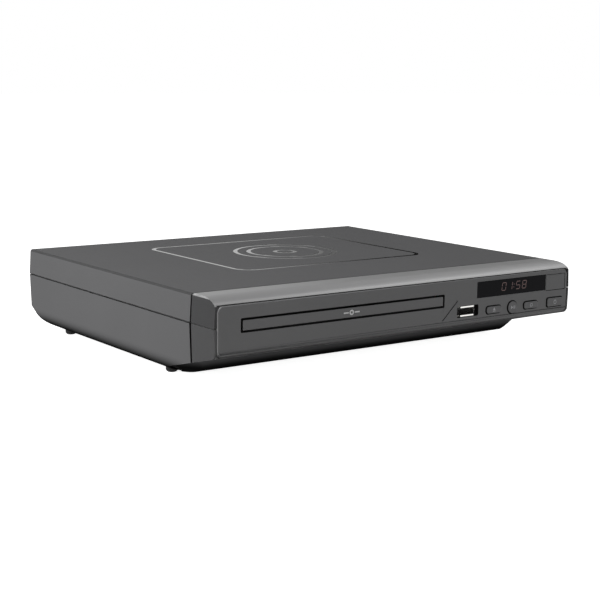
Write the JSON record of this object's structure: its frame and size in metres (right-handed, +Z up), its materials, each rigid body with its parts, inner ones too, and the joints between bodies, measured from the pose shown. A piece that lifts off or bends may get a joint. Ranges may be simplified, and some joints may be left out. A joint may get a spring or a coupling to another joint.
{
  "type": "dvd player",
  "caption": "Compact dark grey disc player with a motorised front tray, bullnose front, digit display, push buttons, USB socket, rear AV sockets and a full loader and disc drive inside.",
  "frame": {"origin": "middle of the overall box, on the floor under the feet", "axes": "+X to the right as seen from the front, +Y from the front to the back, +Z up"},
  "size_m": [0.245, 0.2144, 0.0497],
  "materials": {
    "shell_top": "fine texture",
    "shell_low": "fine texture",
    "bullnose": "satin metallic",
    "front_low": "satin",
    "panel": "satin",
    "window": "smoked, polished",
    "button": "semi gloss",
    "dark_plastic": "moulded",
    "steel": "plain sheet",
    "nickel": "nickel plated",
    "pcb": "solder mask",
    "pcb_tan": "paper board",
    "chip": "moulded",
    "cap_blue": "sleeve",
    "gear_white": "acetal",
    "rubber": "moulded",
    "lens": "coated",
    "aluminium": "extruded",
    "yellow": "moulded",
    "white": "moulded",
    "red": "moulded",
    "brass": "turned",
    "tape": "winding tape",
    "ribbon": "film",
    "led_block": "potted"
  },
  "bodies": {
    "root": {"top_cover": "shell_top", "lower_chassis": "shell_low", "rear_panel": "dark_plastic", "front_top_trim": "bullnose", "front_lower_frame": "front_low", "face_plate": "panel", "display_window": "window", "sensor_plate": "panel", "usb_socket": "nickel", "usb_tongue": "dark_plastic", "front_board": "pcb", "tact_switches": "dark_plastic", "display_module": "led_block", "ir_receiver": "window", "front_ribbon": "ribbon", "loader_frame": "dark_plastic", "loader_motor": "steel", "drive_belt": "rubber", "clamp_bridge": "steel", "loader_screws": "nickel", "main_board": "pcb", "board_chips": "chip", "heat_sink": "aluminium", "board_capacitors": "cap_blue", "jack_block": "dark_plastic", "video_jack": "yellow", "left_jack": "white", "right_jack": "red", "hdmi_socket": "nickel", "hdmi_tongue": "dark_plastic", "power_leads": "red", "power_board": "pcb_tan", "transformer": "tape", "power_capacitors": "cap_blue", "fuse": "white", "ac_inlet": "dark_plastic", "inlet_pins": "brass", "feet": "rubber", "case_screws": "steel"},
    "tray": {"tray": "dark_plastic", "tray_flap": "panel"},
    "drive_gear": {"drive_gear": "gear_white"},
    "pulley_gear": {"pulley_gear": "gear_white"},
    "motor_pulley": {"motor_pulley": "brass"},
    "cam_slider": {"cam_slider": "gear_white"},
    "lift": {"lift_frame": "dark_plastic", "damper_bushes": "rubber", "traverse_plate": "steel", "spindle_motor": "steel", "guide_rods": "nickel", "sled_motor": "steel"},
    "turntable": {"turntable": "dark_plastic"},
    "sled": {"pickup_sled": "aluminium"},
    "lens": {"objective_lens": "lens"},
    "lead_screw": {"lead_screw": "nickel"},
    "clamp_puck": {"clamp_puck": "white"},
    "open_button": {"open_button": "button"},
    "play_button": {"play_button": "button"},
    "stop_button": {"stop_button": "button"},
    "power_button": {"power_button": "panel"}
  },
  "joints": [
    {"name": "tray_slide", "type": "slide", "parent": "root", "child": "tray", "axis": [0, -1, 0], "range_m": [0, 0.132]},
    {"name": "drive_gear_spin", "type": "hinge", "parent": "root", "child": "drive_gear", "pos_m": [-0.0864, -0.06565, 0.0246], "axis": [0, 0, 1], "range_deg": [0, 960]},
    {"name": "pulley_gear_spin", "type": "hinge", "parent": "root", "child": "pulley_gear", "pos_m": [-0.0914, -0.04699, 0.0246], "axis": [0, 0, 1], "range_deg": [-2850, 0]},
    {"name": "motor_pulley_spin", "type": "hinge", "parent": "root", "child": "motor_pulley", "pos_m": [-0.0924, -0.01599, 0.0246], "axis": [0, 0, 1], "range_deg": [-11060, 0]},
    {"name": "lift_tilt", "type": "hinge", "parent": "root", "child": "lift", "pos_m": [-0.0359, 0.06735, 0.02303], "axis": [1, 0, 0], "range_deg": [0, 2.6]},
    {"name": "cam_slide", "type": "slide", "parent": "root", "child": "cam_slider", "axis": [1, 0, 0], "range_m": [0, 0.0151]},
    {"name": "spindle_spin", "type": "hinge", "parent": "lift", "child": "turntable", "pos_m": [-0.0409, -0.03765, 0.03663], "axis": [0, 0, 1], "continuous": true},
    {"name": "clamp_spin", "type": "hinge", "parent": "root", "child": "clamp_puck", "pos_m": [-0.0409, -0.03765, 0.04103], "axis": [0, 0, 1], "continuous": true},
    {"name": "sled_slide", "type": "slide", "parent": "lift", "child": "sled", "axis": [0, 1, 0], "range_m": [0, 0.032]},
    {"name": "screw_spin", "type": "hinge", "parent": "lift", "child": "lead_screw", "pos_m": [-0.0139, -0.00765, 0.02523], "axis": [0, 1, 0], "range_deg": [0, 3850]},
    {"name": "lens_focus", "type": "slide", "parent": "sled", "child": "lens", "axis": [0, 0, 1], "range_m": [-0.0005, 0.0005], "stiffness_N_per_m": 80},
    {"name": "open_press", "type": "slide", "parent": "root", "child": "open_button", "axis": [0, 1, 0], "range_m": [0, 0.0006], "stiffness_N_per_m": 400, "springref_m": -0.0003},
    {"name": "play_press", "type": "slide", "parent": "root", "child": "play_button", "axis": [0, 1, 0], "range_m": [0, 0.0006], "stiffness_N_per_m": 400, "springref_m": -0.0003},
    {"name": "stop_press", "type": "slide", "parent": "root", "child": "stop_button", "axis": [0, 1, 0], "range_m": [0, 0.0006], "stiffness_N_per_m": 400, "springref_m": -0.0003},
    {"name": "power_press", "type": "slide", "parent": "root", "child": "power_button", "axis": [0, 1, 0], "range_m": [0, 0.0006], "stiffness_N_per_m": 400, "springref_m": -0.0003}
  ],
  "couplings": [
    {"joint": "drive_gear_spin", "follows": "tray_slide", "rad_per_m": 125},
    {"joint": "pulley_gear_spin", "follows": "tray_slide", "rad_per_m": -375},
    {"joint": "motor_pulley_spin", "follows": "tray_slide", "rad_per_m": -1461.2},
    {"joint": "cam_slide", "follows": "lift_tilt", "m_per_rad": 0.33055},
    {"joint": "clamp_spin", "follows": "spindle_spin", "ratio": 1},
    {"joint": "screw_spin", "follows": "sled_slide", "rad_per_m": 2094.4}
  ]
}
